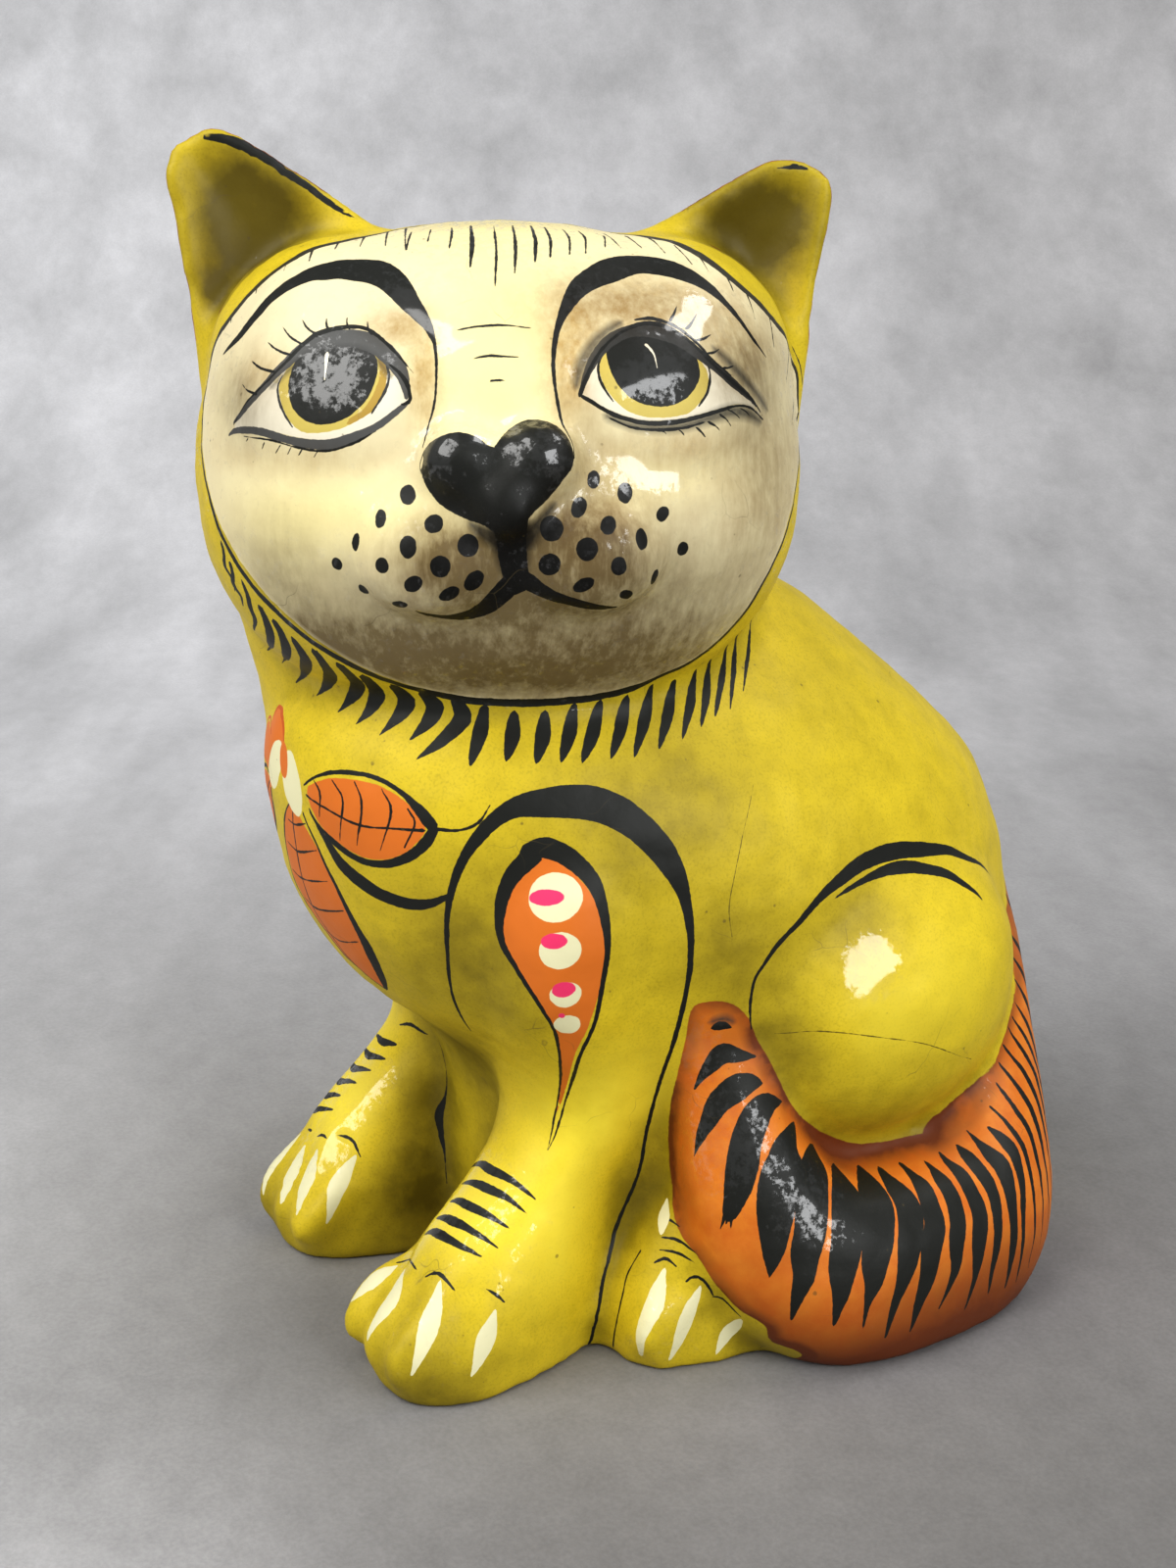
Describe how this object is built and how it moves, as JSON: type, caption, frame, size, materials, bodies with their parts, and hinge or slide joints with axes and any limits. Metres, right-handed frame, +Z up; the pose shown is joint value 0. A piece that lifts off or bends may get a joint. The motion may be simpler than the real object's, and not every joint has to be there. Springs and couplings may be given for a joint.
{
  "type": "papier-mache cat ornament",
  "caption": "Seated hollow-moulded cat ornament with its head turned to the left and its tail curled along the left side, painted and varnished.",
  "frame": {"origin": "on the floor plane under the middle of the cat's bounding box", "axes": "+Z up from the floor it sits on, -Y the way its chest faces, +X its left side, where the tail lies and the head is turned"},
  "size_m": [0.1914, 0.2356, 0.3141],
  "materials": {
    "lacquered_paint": "hand-painted papier-mache, mostly yellow with a cream face and an orange, black-striped tail, under a thick glossy varnish with fine cracks"
  },
  "bodies": {
    "root": {"cat": "lacquered_paint"}
  },
  "joints": []
}
